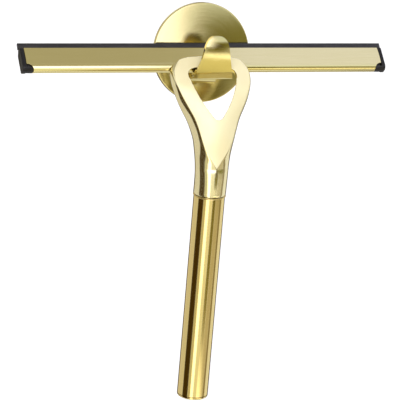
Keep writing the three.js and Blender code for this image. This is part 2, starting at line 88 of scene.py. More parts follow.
TUBE_RADIUS, TUBE_BORE, TUBE_TOP, TUBE_BOTTOM = 10.3, 9.3, -0.8, -139.0
PLUG_FACE, PLUG_EDGE, PLUG_SPIGOT, PLUG_TOP, PLUG_BORE = -140.8, 1.1, 9.0, -126.0, 6.5
RING_RADIUS, RING_BORE, RING_BOTTOM, RING_TOP = 10.75, 4.6, -0.5, 0.1

FRONT, BEND_START, BEND_RADIUS, BEND = 8.9, 35.0, 51.5, math.radians(49.3)
HEAD_AT = BEND_START + BEND_RADIUS * BEND
LOOP_WIDEST, LOOP_TOP, LOOP_HALF, LOOP_SQUARENESS = 85.0, 98.9, 27.1, 3
YOKE_BOTTOM, SEAT, SEAT_FRONT = 0.4, 10.55, 3.05
# The yoke's cross-section, as (distance up the yoke, value) knots: the half width of the whole and of
# its front and back, how far the front's edge lies behind its middle, the angle of the crease there,
# how far the front stands proud, and the depths of the widest line and of the back.
HALF_WIDTH = [(0, 10.7), (17, 11), (26, 11.8), (35, 13.2), (45, 15.4), (54, 18), (62, 21.2), (71, 24.4),
              (LOOP_WIDEST, LOOP_HALF)]
FRONT_HALF = [(19, 0), (21, 1.6), (25, 4.1), (31, 7.4), (38, 10.2), (53, 14.8), (68, 21), (78, 24.6),
              (88, 24.8), (95, 21)]
BACK_HALF = [(12, 0), (35, 5), (54, 10), (71, 17), (88, 22)]
CROWN = [(17, 0), (25, 0.4), (34, 1.5), (44, 3.2), (54, 4.6), (66, 4.4), (78, 2.2), (88, 0.8), (98, 0)]
CREASE = [(17, 0), (28, 0.6), (70, 0.6), (82, 0.15)]
PROUD = [(0, 1.8), (12, 1.8), (35, 0)]
WIDEST_DEPTH = [(0, 10.7), (20, 10.2), (35, 11), (46, 12.6), (58, 12.6), (70, 9.8), (80, 6.8), (88, 5.2),
                (99, 2.4)]
THICKNESS = [(0, 21.4), (20, 20.6), (45, 18.2), (60, 16.4), (72, 13.8), (88, 12), (99, 11)]
NARROWEST_FLANK = 0.8
FRONT_STEPS, FLANK_STEPS = 14, 14

# The eye in the loop: a rounded triangle, point down, that flares toward the back.
EYE_TIP, EYE_TIP_RADIUS, EYE_TOP = 52.2, 3.4, 90.4
EYE_HALF, EYE_CORNER, EYE_CORNER_AT = 16.0, 5.0, 84.2
EYE_BOW, EYE_SHOULDER = math.radians(11), math.radians(70)
FLARE_SIDE, FLARE_END, FLARE_MIDDLE, FLARE_SQUARE, FLARE_REACH, FLARE_LEAD = 0.6, 0.2, 76, 68, 24, 3

COVER_HALF, CAP_HALF, RUBBER_HALF = 121.8, 124.6, 125.0
FACE_TOP, FACE_CROWN, COVER_WALL = 28.6, 2.75, 1.1
ROLL_Z, ROLL_Y, ROLL_RADIUS, ROLL_START, ROLL_END = 14.7, 6.4, 2.95, math.radians(185.7), math.radians(305)
RUBBER_BOTTOM, LIP, RUBBER_FRONT, RUBBER_BACK, LIP_BACK = 13.8, 33.0, 5.4, 7.6, 7.0
CLAMP_BOTTOM, CLAMP_TOP, CLAMP_FRONT, CLAMP_BACK = 13.2, 26.4, 9.0, 10.4
CAP_TOP, FOOT_RADIUS, FOOT_Z = 28.8, 4.6, 11.3
# A screw is its head's radius and height.
HEAD_SCREW_X, HEAD_SCREW_Z, HEAD_SCREW = 17, 16.2, (2.6, 1.6)
CLAMP_SCREW_X, CLAMP_SCREW_Z, CLAMP_SCREW = (-102, -58, 58, 102), 19.5, (2.3, 1.4)

# ---- Frames -----------------------------------------------------------------------------------


def front_at(s):
    """The middle of the yoke's front at a distance s along it: (point, outward normal, along)."""
    angle = min(max(s - BEND_START, 0) / BEND_RADIUS, BEND)
    beyond = max(s - HEAD_AT, 0)
    y = -FRONT + BEND_RADIUS * (1 - math.cos(angle)) + beyond * math.sin(angle)
    z = min(s, BEND_START) + BEND_RADIUS * math.sin(angle) + beyond * math.cos(angle)
    normal = Vector((0, -math.cos(angle), math.sin(angle)))
    along = Vector((0, math.sin(angle), math.cos(angle)))
    return Vector((0, y, z)), normal, along


IN_METRES = Matrix.Scale(MM, 4)
WALL = Matrix.Identity(4)
HANDLE = Matrix.Translation(HANG) @ Matrix.Rotation(LEAN, 4, "X")
HEAD = HANDLE @ Matrix.Translation(front_at(HEAD_AT)[0]) @ Matrix.Rotation(-BEND, 4, "X")
HANDLE_AXIS = HANDLE.to_3x3() @ Vector((0, 0, 1))

# ---- Mesh helpers -----------------------------------------------------------------------------


def arc(x, y, radius, start, end, steps):
    """Points along an arc from one angle to another, both ends included."""
    angles = [start + (end - start) * i / steps for i in range(steps + 1)]
    return [(x + radius * math.cos(a), y + radius * math.sin(a)) for a in angles]


def curve(a, b, c, steps):
    """Points along a quadratic curve from a to c that leaves toward b, without a itself."""
    points = []
    for i in range(1, steps + 1):
        t = i / steps
        points.append(tuple(p * (1 - t) ** 2 + 2 * q * t * (1 - t) + r * t * t for p, q, r in zip(a, b, c)))
    return points


def cubic(a, b, c, d, steps):
    """Points along a cubic curve from a to d, without a itself."""
    points = []
    for i in range(1, steps + 1):
        t = i / steps
        u = 1 - t
        points.append(tuple(p * u ** 3 + 3 * q * u * u * t + r * 3 * u * t * t + s * t ** 3
                            for p, q, r, s in zip(a, b, c, d)))
    return points


def drawn(rows, steps=20):
    """An outline from rows of line ends and curves."""
    points = [rows[0]]
    for row in rows[1:]:
        pairs = [row[i:i + 2] for i in range(0, len(row), 2)]
        if len(pairs) == 1:
            points.append(row)
        elif len(pairs) == 2:
            points += curve(points[-1], *pairs, steps)
        else:
            points += cubic(points[-1], *pairs, steps)
    if math.dist(points[0], points[-1]) < 1e-6:
        points.pop()
    return points


def new_object(name, vertices, faces):
    """A mesh object with outward faces."""
    mesh = bpy.data.meshes.new(name)
    mesh.from_pydata([tuple(v) for v in vertices], [], faces)
    shape = bmesh.new()
    shape.from_mesh(mesh)
    bmesh.ops.remove_doubles(shape, verts=shape.verts, dist=1e-4)
    bmesh.ops.recalc_face_normals(shape, faces=shape.faces)
    shape.to_mesh(mesh)
    shape.free()
    made = bpy.data.objects.new(name, mesh)
    bpy.context.scene.collection.objects.link(made)
    return made


def loft(name, rings):
    """A closed skin over rings of points that have the same number of points."""
    count = len(rings[0])
    vertices = [point for ring in rings for point in ring]
    faces = []
    for low in range(0, (len(rings) - 1) * count, count):
        for i in range(count):
            j = (i + 1) % count
            faces.append((low + i, low + j, low + count + j, low + count + i))
    faces.append(tuple(reversed(range(count))))
    faces.append(tuple(range(len(vertices) - count, len(vertices))))
    return new_object(name, vertices, faces)


def turned(name, profile, segments=160, closed=False):
    """A body turned about Z from (radius, height) points: from axis to axis, or closed on itself."""
    vertices, rows = [], []
    for radius, height in profile:
        if radius < 1e-6:
            rows.append([len(vertices)] * segments)
            vertices.append((0, 0, height))
            continue
        rows.append(list(range(len(vertices), len(vertices) + segments)))
        angles = [2 * math.pi * i / segments for i in range(segments)]
        vertices += [(radius * math.cos(a), radius * math.sin(a), height) for a in angles]
    pairs = list(zip(rows, rows[1:])) + ([(rows[-1], rows[0])] if closed else [])
    faces = []
    for low, high in pairs:
        for i in range(segments):
            j = (i + 1) % segments
            corners = list(dict.fromkeys((low[i], low[j], high[j], high[i])))
            if len(corners) > 2:
                faces.append(tuple(corners))
    return new_object(name, vertices, faces)


def across(name, outline, low, high, steps=1):
    """An outline of (y, z) points carried along X."""
    places = [low + (high - low) * i / steps for i in range(steps + 1)]
    return loft(name, [[(x, y, z) for y, z in outline] for x in places])


def deep(name, outline, low, high):
    """An outline of (x, z) points carried along Y."""
    return loft(name, [[(x, y, z) for x, z in outline] for y in (low, high)])


def upright(name, outline, low, high):
    """An outline of (x, y) points carried along Z."""
    return loft(name, [[(x, y, z) for x, y in outline] for z in (low, high)])


def rod(name, radius, x, z, low, high, segments=64):
    """A round rod along Y."""
    return deep(name, arc(x, z, radius, 0, 2 * math.pi * (1 - 1 / segments), segments - 1), low, high)


def applied(made):
    """Makes an object's modifiers part of its mesh."""
    graph = bpy.context.evaluated_depsgraph_get()
    mesh = bpy.data.meshes.new_from_object(made.evaluated_get(graph))
    made.modifiers.clear()
    made.data = mesh
    return made


def combined(made, operation, *tools):
    """Joins, cuts or intersects made with the tools, which are used up."""
    for tool in tools:
        modifier = made.modifiers.new("combine", "BOOLEAN")
        modifier.operation, modifier.object, modifier.solver = operation, tool, "EXACT"
        applied(made)
        bpy.data.objects.remove(tool)
    return made


def eased(made, width, segments=3, angle=35):
    """Rounds every edge that is sharper than the angle."""
    shape = bmesh.new()
    shape.from_mesh(made.data)
    bmesh.ops.remove_doubles(shape, verts=shape.verts, dist=0.01)
    bmesh.ops.dissolve_limit(shape, angle_limit=math.radians(0.4), verts=shape.verts, edges=shape.edges)
    shape.to_mesh(made.data)
    shape.free()
    modifier = made.modifiers.new("ease", "BEVEL")
    modifier.width, modifier.segments, modifier.limit_method = width, segments, "ANGLE"
    modifier.angle_limit = math.radians(angle)
    modifier.use_clamp_overlap = True
    return applied(made)


def skinned(made, voxel, rounds):
    """Replaces the mesh by an even skin and relaxes it, which rounds its edges over."""
    remesh = made.modifiers.new("skin", "REMESH")
    remesh.mode, remesh.voxel_size = "VOXEL", voxel
    relax = made.modifiers.new("relax", "SMOOTH")
    relax.factor, relax.iterations = 0.5, rounds
    return applied(made)


def finished(made, place, material, body, *nodes, sharp=32, slot=None):
    """Puts a piece in its place in metres, gives it its material, and ties it to the frame."""
    made.data.transform(IN_METRES @ place)
    for polygon in made.data.polygons:
        polygon.use_smooth = True
    made.data.set_sharp_from_angle(angle=math.radians(sharp))
    made.data.materials.clear()
    made.data.materials.append(material)
    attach(made, body)
    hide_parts(*nodes)
    return made


def smooth(knots, place):
    """Smooth value between (place, value) knots, level at both ends."""
    if place <= knots[0][0]:
        return knots[0][1]
    if place >= knots[-1][0]:
        return knots[-1][1]

    def slope(i):
        if i in (0, len(knots) - 1):
            return 0
        return (knots[i + 1][1] - knots[i - 1][1]) / (knots[i + 1][0] - knots[i - 1][0])

    low = max(i for i, (knot, _) in enumerate(knots) if knot <= place)
    span = knots[low + 1][0] - knots[low][0]
    t = (place - knots[low][0]) / span
    start, end = knots[low][1], knots[low + 1][1]
    return (start * (1 + 2 * t) * (1 - t) ** 2 + end * t * t * (3 - 2 * t)
            + slope(low) * span * t * (1 - t) ** 2 + slope(low + 1) * span * t * t * (t - 1))


# ---- Materials --------------------------------------------------------------------------------


class Nodes:
    """The node tree of a material or a sky, with short calls for the nodes that they share."""

    def __init__(self, owner):
        owner.use_nodes = True
        self.owner = owner
        self.tree = owner.node_tree
        self.coordinates = self.add("ShaderNodeTexCoord")
        self.place = self.coordinates.outputs["Object"]

    def add(self, kind, **settings):
        node = self.tree.nodes.new(kind)
        for key, value in settings.items():
            setattr(node, key, value)
        return node

    def link(self, output, socket):
        self.tree.links.new(output, socket)

    def along(self, axis):
        """How far a point lies along an axis."""
        node = self.add("ShaderNodeVectorMath", operation="DOT_PRODUCT")
        self.link(self.place, node.inputs[0])
        node.inputs[1].default_value = axis
        return node.outputs["Value"]

    def stretched(self, scale):
        """The object's coordinates with a scale of their own along each axis."""
        node = self.add("ShaderNodeVectorMath", operation="MULTIPLY")
        self.link(self.place, node.inputs[0])
        node.inputs[1].default_value = scale
        return node.outputs["Vector"]

    def noise(self, vector=None, scale=1.0, detail=4.0, value=None):
        """Noise at a point, or along a single value."""
        node = self.add("ShaderNodeTexNoise", noise_dimensions="1D" if value else "3D")
        node.inputs["Scale"].default_value = scale
        node.inputs["Detail"].default_value = detail
        self.link(value or vector, node.inputs["W" if value else "Vector"])
        return node.outputs["Fac"]

    def spread(self, value, low, high, start=0.3, end=0.7):
        """A value between start and end taken to low and high."""
        node = self.add("ShaderNodeMapRange", interpolation_type="SMOOTHSTEP")
        self.link(value, node.inputs["Value"])
        for socket, number in zip(("From Min", "From Max", "To Min", "To Max"), (start, end, low, high)):
            node.inputs[socket].default_value = number
        return node.outputs["Result"]

    def mix(self, share, first, second):
        """From first to second as share grows; each is a colour or an output."""
        node = self.add("ShaderNodeMix", data_type="RGBA")
        self.link(share, node.inputs["Factor"])
        for socket, colour in zip((node.inputs["A"], node.inputs["B"]), (first, second)):
            if isinstance(colour, tuple):
                socket.default_value = (*colour, 1)
            else:
                self.link(colour, socket)
        return node.outputs["Result"]

    def bump(self, height, strength, distance):
        node = self.add("ShaderNodeBump")
        node.inputs["Strength"].default_value = strength
        node.inputs["Distance"].default_value = distance
        self.link(height, node.inputs["Height"])
        return node.outputs["Normal"]

    def maths(self, operation, *values):
        """An operation on one or two values, each a number or an output."""
        node = self.add("ShaderNodeMath", operation=operation)
        for socket, value in zip(node.inputs, values):
            if isinstance(value, (int, float)):
                socket.default_value = value
            else:
                self.link(value, socket)
        return node.outputs["Value"]

    def between(self, share, first, second):
        """From first to second as share grows; each is a number or an output."""
        node = self.add("ShaderNodeMix", data_type="FLOAT")
        self.link(share, node.inputs["Factor"])
        for socket, value in zip((node.inputs["A"], node.inputs["B"]), (first, second)):
            if isinstance(value, (int, float)):
                socket.default_value = value
            else:
                self.link(value, socket)
        return node.outputs["Result"]

    def edges(self):
        """1 on worn outer edges, 0 elsewhere."""
        return self.spread(self.add("ShaderNodeNewGeometry").outputs["Pointiness"], 0, 1, 0.52, 0.6)

    def surface(self, colour, roughness, normal, metallic, specular=0.5):
        """Sets the shader up and returns the material."""
        shader = self.tree.nodes["Principled BSDF"]
        self.link(colour, shader.inputs["Base Color"])
        self.link(roughness, shader.inputs["Roughness"])
        self.link(normal, shader.inputs["Normal"])
        if isinstance(metallic, (int, float)):
            shader.inputs["Metallic"].default_value = metallic
        else:
            self.link(metallic, shader.inputs["Metallic"])
        shader.inputs["Specular IOR Level"].default_value = specular
        return self.owner


def material_nodes(name):
    """The node tree of a new material."""
    return Nodes(bpy.data.materials.new(name))


def gold(name, colour, shade, roughness, grain, rings=None):
    """Brushed gold. The grain is a scale along each axis, or fine rings along an axis."""
    nodes = material_nodes(name)
    if rings:
        lines = nodes.noise(value=nodes.along(rings), scale=grain, detail=3)
    else:
        lines = nodes.noise(nodes.stretched(grain), detail=3)
    clouds = nodes.noise(nodes.stretched((60, 60, 60)), detail=2)
    tone = nodes.mix(nodes.spread(lines, 0, 1), colour, shade)
    tone = nodes.mix(nodes.spread(clouds, 0, 0.35), tone, shade)
    rough = nodes.spread(lines, roughness * 0.88, roughness * 1.15)
    return nodes.surface(tone, rough, nodes.bump(lines, 0.12, 0.00002), 1.0)


def turned_gold(name, colour, shade, roughness):
    """Gold brushed round the middle of the disc, which spreads its reflections outward."""
    nodes = material_nodes(name)
    radius = nodes.add("ShaderNodeVectorMath", operation="LENGTH")
    nodes.link(nodes.stretched((1, 0, 1)), radius.inputs[0])
    rings = nodes.noise(value=radius.outputs["Value"], scale=6000, detail=2)
    clouds = nodes.noise(nodes.stretched((60, 60, 60)), detail=2)
    tone = nodes.mix(nodes.spread(rings, 0, 1), colour, shade)
    tone = nodes.mix(nodes.spread(clouds, 0, 0.35), tone, shade)
    rough = nodes.spread(rings, roughness * 0.88, roughness * 1.15)
    return nodes.surface(tone, rough, nodes.bump(rings, 0.3, 0.00004), 1.0)


def blasted_gold(name, colour, shade):
    """Gold with a satin front that ends in a V above the neck, and brighter flanks and neck."""
    tilt, widening = math.radians(15), 0.66
    tip = HANG.dot(HANDLE_AXIS) + 20
    nodes = material_nodes(name)
    lines = nodes.noise(nodes.stretched((700, 700, 1800)), detail=3)
    facing = nodes.add("ShaderNodeVectorMath", operation="DOT_PRODUCT")
    nodes.link(nodes.coordinates.outputs["Normal"], facing.inputs[0])
    facing.inputs[1].default_value = (0, -math.cos(tilt), math.sin(tilt))
    front = nodes.spread(facing.outputs["Value"], 0, 1, 0.72, 0.88)
    side = nodes.maths("ABSOLUTE", nodes.maths("SUBTRACT", nodes.along((1, 0, 0)), HANG.x * MM))
    inside = nodes.maths("SUBTRACT", nodes.along(HANDLE_AXIS * widening), side)
    vee = nodes.spread(inside, 0, 1, (tip * widening - 0.4) * MM, (tip * widening + 0.6) * MM)
    satin = nodes.maths("MULTIPLY", front, vee)
    clouds = nodes.noise(nodes.stretched((60, 60, 60)), detail=2)
    tone = nodes.mix(nodes.spread(clouds, 0, 1), colour, shade)
    rough = nodes.between(satin, nodes.spread(lines, 0.11, 0.15), nodes.spread(lines, 0.44, 0.54))
    metallic = nodes.between(satin, 0.97, 0.45)
    return nodes.surface(tone, rough, nodes.bump(lines, 0.12, 0.00002), metallic)


def steel(name):
    """Brushed grey steel."""
    nodes = material_nodes(name)
    lines = nodes.noise(nodes.stretched((2500, 2500, 2500)), detail=3)
    tone = nodes.mix(nodes.spread(lines, 0, 1), (0.66, 0.67, 0.68), (0.52, 0.53, 0.55))
    rough = nodes.spread(lines, 0.24, 0.38)
    return nodes.surface(tone, rough, nodes.bump(lines, 0.15, 0.00003), 1.0)


def rubber(name):
    """Matt black rubber with a little dust."""
    nodes = material_nodes(name)
    grains = nodes.noise(nodes.stretched((1400, 1400, 1400)), detail=5)
    dust = nodes.noise(nodes.stretched((90, 400, 400)), detail=3)
    tone = nodes.mix(nodes.spread(dust, 0, 1), (0.013, 0.0112, 0.012), (0.025, 0.022, 0.022))
    rough = nodes.spread(grains, 0.5, 0.68)
    return nodes.surface(tone, rough, nodes.bump(grains, 0.25, 0.00004), 0.0)


def plastic(name):
    """Moulded black plastic, greyer on its worn edges."""
    nodes = material_nodes(name)
    grains = nodes.noise(nodes.stretched((2600, 2600, 2600)), detail=4)
    worn = nodes.mix(nodes.edges(), (0.006, 0.005, 0.005), (0.03, 0.027, 0.024))
    tone = nodes.mix(nodes.spread(grains, 0, 0.4), worn, (0.014, 0.012, 0.012))
    rough = nodes.spread(grains, 0.34, 0.5)
    return nodes.surface(tone, rough, nodes.bump(grains, 0.3, 0.00003), 0.0, 0.3)


def foam(name):
    """Pale closed-cell foam."""
    nodes = material_nodes(name)
    cells = nodes.add("ShaderNodeTexVoronoi", feature="F1")
    nodes.link(nodes.stretched((1600, 1600, 1600)), cells.inputs["Vector"])
    pores = nodes.spread(cells.outputs["Distance"], 0, 1, 0.15, 0.6)
    tone = nodes.mix(pores, (0.62, 0.61, 0.58), (0.84, 0.84, 0.82))
    rough = nodes.spread(pores, 0.8, 0.95, 0, 1)
    return nodes.surface(tone, rough, nodes.bump(pores, 0.5, 0.0001), 0.0, 0.3)


HOOK_GOLD = turned_gold("hook_gold", (0.76, 0.67, 0.33), (0.71, 0.61, 0.28), 0.125)
YOKE_GOLD = blasted_gold("yoke_gold", (0.91, 0.82, 0.50), (0.88, 0.78, 0.46))
FACE_GOLD = gold("face_gold", (0.88, 0.77, 0.39), (0.85, 0.74, 0.36), 0.13, (40, 2500, 2500))
TUBE_GOLD = gold("tube_gold", (0.86, 0.70, 0.32), (0.81, 0.64, 0.27), 0.12, 2600, rings=HANDLE_AXIS)
PLAIN_STEEL = steel("plain_steel")
BLACK_RUBBER = rubber("black_rubber")
BLACK_PLASTIC = plastic("black_plastic")
PAD_FOAM = foam("pad_foam")

# ---- Wall hook --------------------------------------------------------------------------------


def hook_disc():
    """A shallow dome with a rounded edge and a hollow back."""
    steps = 24
    flat = DISC_RADIUS - DISC_EDGE
    profile = []
    for i in range(steps + 1):
        out = i / steps
        profile.append((out * flat, RIM_FRONT + (DISC_FRONT - RIM_FRONT) * (1 - out ** 2)))
    profile += arc(flat, RIM_FRONT - DISC_EDGE, DISC_EDGE, math.pi / 2, 0, 5)[1:]
    profile += [(DISC_RADIUS, RIM_BACK + 0.2), (DISC_RADIUS - 0.2, RIM_BACK)]
    profile += [(RECESS_RADIUS, RIM_BACK), (RECESS_RADIUS, RECESS), (0, RECESS)]
    disc = turned("wall_hook_piece", profile, 192)
    disc.data.transform(Matrix.Rotation(math.pi / 2, 4, "X"))
    return disc


def wall_hook():
    """The disc joined to an arm that holds in all three drawings of the hook."""
    arm = across("arm", drawn(HOOK_SIDE), -ARM_HALF - 1, ARM_HALF + 1)
    front = deep("front", drawn(HOOK_FRONT), ARM_FRONT, 0)
    plan = upright("plan", drawn(HOOK_PLAN), ARM_LOW, ARM_HIGH)
    arm = eased(combined(arm, "INTERSECT", front, plan), 1.1, 4, 38)
    hook = combined(hook_disc(), "UNION", arm)
    return finished(hook, WALL, HOOK_GOLD, "wall_mount", "wall_hook", slot="satin_gold")


def adhesive_pad():
    """A foam disc in the hook's hollow back."""
    edge = 0.25
    profile = [(0, 0), (PAD_RADIUS - edge, 0)]
    profile += arc(PAD_RADIUS - edge, edge, edge, -math.pi / 2, 0, 4)[1:]
    profile += arc(PAD_RADIUS - edge, PAD_THICKNESS - edge, edge, 0, math.pi / 2, 4)
    pad = turned("adhesive_pad_piece", profile + [(0, PAD_THICKNESS)], 128)
    pad.data.transform(Matrix.Rotation(math.pi / 2, 4, "X"))
    finished(pad, WALL, PAD_FOAM, "wall_mount", "adhesive_pad", slot="pad_foam")
    return pad


# ---- Yoke -------------------------------------------------------------------------------------


def outline_half(s):
    """Half width of the yoke, growing from the neck to the loop and closing over the top."""
    if s <= LOOP_WIDEST:
        return smooth(HALF_WIDTH, s)
    rise = (s - LOOP_WIDEST) / (LOOP_TOP - LOOP_WIDEST)
    return LOOP_HALF * (1 - rise ** LOOP_SQUARENESS) ** (1 / LOOP_SQUARENESS)


def yoke_section(s):
    """Half of a cross-section, as (x, n) from the middle of the crowned front round to the back."""
    half = outline_half(s)
    front = max(min(smooth(FRONT_HALF, s), half - NARROWEST_FLANK), 0)
    back = min(smooth(BACK_HALF, s), half - NARROWEST_FLANK)
    crown, crease, proud = smooth(CROWN, s), smooth(CREASE, s), smooth(PROUD, s)
    depth, thick = smooth(WIDEST_DEPTH, s), smooth(THICKNESS, s)
    points = []
    for i in range(FRONT_STEPS):
        out = i / FRONT_STEPS
        points.append((front * out, proud - crown * out ** 2))
    for i in range(FLANK_STEPS + 1):
        angle = crease + (math.pi / 2 - crease) * i / FLANK_STEPS
        out = (math.sin(angle) - math.sin(crease)) / (1 - math.sin(crease))
        down = 1 - math.cos(angle) / math.cos(crease)
        points.append((front + (half - front) * out, proud - crown - (depth - crown) * down))
    for i in range(1, FLANK_STEPS + 1):
        angle = math.pi / 2 * i / FLANK_STEPS
        x = back + (half - back) * math.cos(angle)
        points.append((x, proud - depth - (thick - depth) * math.sin(angle)))
    return points


def yoke_ring(s):
    """The whole cross-section at a distance s along the yoke, in the handle's frame."""
    point, normal, _ = front_at(s)
    half = yoke_section(s)
    whole = half + [(0, half[-1][1])] + [(-x, n) for x, n in reversed(half[1:])]
    return [point + Vector((x, 0, 0)) + normal * n for x, n in whole]


def mirrored(half):
    """A whole outline from the points of its right half, listed from bottom to top."""
    return half + [(-x, z) for x, z in reversed(half) if abs(x) > 1e-6]


def eye_outline():
    """The eye in (x, s): a rounded triangle, point down, whose sides bow outward."""
    tip = EYE_TIP + EYE_TIP_RADIUS
    corner_x = EYE_HALF - EYE_CORNER
    rise = EYE_CORNER_AT - tip
    side = math.atan(corner_x / rise)
    side += math.asin((EYE_CORNER - EYE_TIP_RADIUS) / math.hypot(corner_x, rise))
    low, high = side + EYE_BOW, side - EYE_BOW
    start = Vector((EYE_TIP_RADIUS * math.cos(low), tip - EYE_TIP_RADIUS * math.sin(low)))
    end = Vector((corner_x + EYE_CORNER * math.cos(high), EYE_CORNER_AT - EYE_CORNER * math.sin(high)))
    span = end - start
    reach = (span.x * math.cos(high) - span.y * math.sin(high)) / math.sin(2 * EYE_BOW)
    bulge = start + reach * Vector((math.sin(low), math.cos(low)))
    half = arc(0, tip, EYE_TIP_RADIUS, -math.pi / 2, -low, 14)
    half += curve(half[-1], tuple(bulge), tuple(end), 24)
    half += arc(corner_x, EYE_CORNER_AT, EYE_CORNER, -high, EYE_SHOULDER, 16)[1:]
    half += curve(half[-1], (corner_x * 0.7, EYE_TOP), (0, EYE_TOP), 12)
    return mirrored(half)


def eye_cutter():
    """The eye's cutter runs square to the loop's middle and flares toward the back."""
    _, normal, along = front_at(FLARE_SQUARE)
    rings = []
    for depth in (FLARE_REACH, 12, 6, 0, -FLARE_LEAD):
        share = max(depth, 0) / FLARE_REACH
        ring = []
        for x, s in eye_outline():
            slide = (s - FLARE_MIDDLE) * FLARE_END * share
            ring.append(front_at(s)[0] + Vector((x * (1 + FLARE_SIDE * share), 0, 0)) + along * slide
                        - normal * depth)
        rings.append(ring)
    return loft("eye", rings)


def from_head(made):
    """Takes a shape from the head's own frame to the handle's."""
    made.data.transform(HANDLE.inverted() @ HEAD)
    return made


def head_block():
    """The room that the head takes out of the yoke."""
    reach = 40
    corners = [(SEAT_FRONT, SEAT), (reach, SEAT), (reach, LIP), (SEAT_FRONT, LIP)]
    return from_head(across("seat", corners, -reach, reach))


def yoke():
    """A loft from the neck to the loop, with the eye and the head's seat cut out of it."""
    steps, top_steps, last_angle = 90, 30, math.radians(89.3)
    stations = [YOKE_BOTTOM + (LOOP_WIDEST - YOKE_BOTTOM) * i / steps for i in range(steps)]
    stations += [LOOP_WIDEST + (LOOP_TOP - LOOP_WIDEST) * math.sin(last_angle * i / top_steps)
                 for i in range(top_steps + 1)]
    body = loft("yoke_piece", [yoke_ring(s) for s in stations])
    combined(body, "DIFFERENCE", eye_cutter())
    skinned(body, 0.42, 9)
    combined(body, "DIFFERENCE", head_block())
    neck_end = upright("neck_end", [(-15, -15), (15, -15), (15, 15), (-15, 15)], -5, YOKE_BOTTOM + 0.15)
    combined(body, "DIFFERENCE", neck_end)
    return finished(body, HANDLE, YOKE_GOLD, "squeegee", "yoke", sharp=50, slot="satin_gold")


# ---- Handle -----------------------------------------------------------------------------------


def handle_tube():
    """A tube with a rounded top edge and a small chamfer at the bottom."""
    edge, chamfer = 0.35, 0.15
    profile = [(TUBE_BORE, TUBE_BOTTOM), (TUBE_RADIUS - chamfer, TUBE_BOTTOM)]
    profile += [(TUBE_RADIUS, TUBE_BOTTOM + chamfer)]
    profile += arc(TUBE_RADIUS - edge, TUBE_TOP - edge, edge, 0, math.pi / 2, 5)
    tube = turned("handle_tube_piece", profile + [(TUBE_BORE, TUBE_TOP)], 160, closed=True)
    return finished(tube, HANDLE, TUBE_GOLD, "squeegee", "handle_tube", slot="brushed_gold")


def end_plug():
    """A cap with a rounded edge, and a hollow spigot that goes up into the tube."""
    shoulder = TUBE_BOTTOM - GAP
    profile = [(0, PLUG_FACE)] + arc(TUBE_RADIUS - PLUG_EDGE, PLUG_FACE + PLUG_EDGE, PLUG_EDGE,
                                           -math.pi / 2, 0, 10)
    profile += [(TUBE_RADIUS, shoulder), (PLUG_SPIGOT, shoulder), (PLUG_SPIGOT, PLUG_TOP),
                (PLUG_BORE, PLUG_TOP), (PLUG_BORE, shoulder), (0, shoulder)]
    plug = turned("end_plug_piece", profile, 160)
    return finished(plug, HANDLE, TUBE_GOLD, "squeegee", "end_plug", slot="brushed_gold")


def neck_ring():
    """A thin ring between the tube and the yoke, slightly wider than the tube."""
    edge = 0.2
    middle = RING_RADIUS - edge
    profile = [(RING_BORE, RING_BOTTOM)] + arc(middle, RING_BOTTOM + edge, edge, -math.pi / 2, 0, 4)
    profile += arc(middle, RING_TOP - edge, edge, 0, math.pi / 2, 4) + [(RING_BORE, RING_TOP)]
    ring = turned("neck_ring_piece", profile, 160, closed=True)
    return finished(ring, HANDLE, TUBE_GOLD, "squeegee", "neck_ring", slot="brushed_gold")


# ---- Head -------------------------------------------------------------------------------------


def cover_profile():
    """The cover's bent sheet: a lip at the top, a slightly crowned face and a roll at the bottom."""
    face = ROLL_Y - ROLL_RADIUS
    inner = RUBBER_FRONT - GAP
    middle = (FACE_TOP + ROLL_Z) / 2
    outline = [(inner, FACE_TOP - 0.7), (inner, FACE_TOP)]
    outline += curve(outline[-1], (face + 0.3, FACE_TOP + 0.3), (face + 0.2, FACE_TOP - 0.9), 6)
    roll = arc(ROLL_Y, ROLL_Z, ROLL_RADIUS, ROLL_START, ROLL_END, 28)
    outline += curve(outline[-1], (FACE_CROWN, middle), roll[0], 16) + roll[1:]
    outline += arc(ROLL_Y, ROLL_Z, ROLL_RADIUS - COVER_WALL, ROLL_END, math.pi, 20)
    return outline + curve(outline[-1], (FACE_CROWN + COVER_WALL, middle), outline[0], 12)[:-1]


def blade_cover():
    """The long front sheet, with a round bite at each lower corner for the end caps' feet."""
    cover = across("blade_cover_piece", cover_profile(), -COVER_HALF, COVER_HALF, 24)
    bites = [rod("bite", FOOT_RADIUS, side * COVER_HALF, FOOT_Z, -1, 20) for side in (-1, 1)]
    combined(cover, "DIFFERENCE", *bites)
    eased(cover, 0.22, 2, 50)
    return finished(cover, HEAD, FACE_GOLD, "squeegee", "blade_cover", slot="satin_gold")


def rubber_blade():
    """The strip and its lip, full width above the end caps."""
    full = [(RUBBER_FRONT, CAP_TOP + GAP), (RUBBER_BACK, CAP_TOP + GAP), (LIP_BACK, LIP),
            (RUBBER_FRONT, LIP)]
    held_top = CAP_TOP + 2 * GAP
    held = [(RUBBER_FRONT, RUBBER_BOTTOM), (RUBBER_BACK, RUBBER_BOTTOM), (RUBBER_BACK, held_top),
            (RUBBER_FRONT, held_top)]
    lip = across("rubber_blade_piece", full, -RUBBER_HALF, RUBBER_HALF, 60)
    combined(lip, "UNION", across("held", held, -COVER_HALF, COVER_HALF))
    eased(lip, 0.18, 2, 40)
    return finished(lip, HEAD, BLACK_RUBBER, "squeegee", "rubber_blade", slot="black_rubber")


